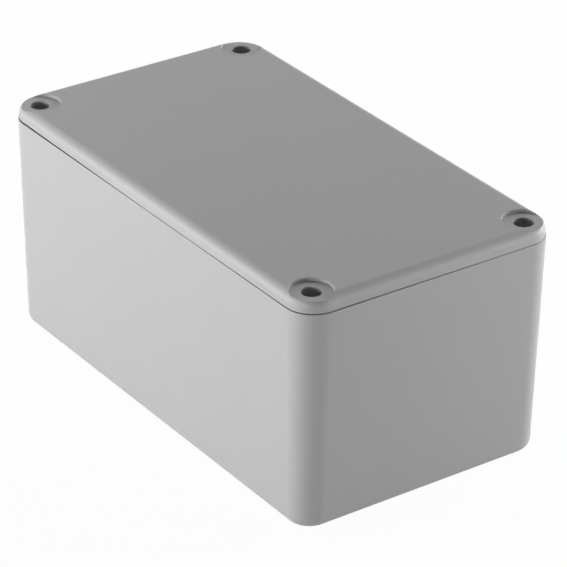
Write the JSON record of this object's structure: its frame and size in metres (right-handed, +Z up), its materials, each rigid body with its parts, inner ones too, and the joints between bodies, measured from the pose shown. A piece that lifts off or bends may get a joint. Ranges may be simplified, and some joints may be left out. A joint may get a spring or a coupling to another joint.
{
  "type": "die-cast aluminium enclosure",
  "caption": "Painted die-cast aluminium box with round corners, a shallow lift-off lid on a lap joint with a gasket, and a spot-faced screw hole in each corner of the lid.",
  "frame": {"origin": "centre of the underside of the base casting", "axes": "+X along the length, +Y along the width, +Z up through the lid"},
  "size_m": [0.115, 0.065, 0.055],
  "materials": {
    "grey_paint": "semi-matt powder coat over a die casting, with a fine orange-peel texture",
    "gasket_rubber": "matt black cellular rubber"
  },
  "bodies": {
    "base": {"base": "grey_paint"},
    "lid": {"lid": "grey_paint", "gasket": "gasket_rubber"}
  },
  "joints": [
    {"name": "lid_lift", "type": "slide", "parent": "base", "child": "lid", "axis": [0, 0, 1], "range_m": [0, 0.07]}
  ]
}
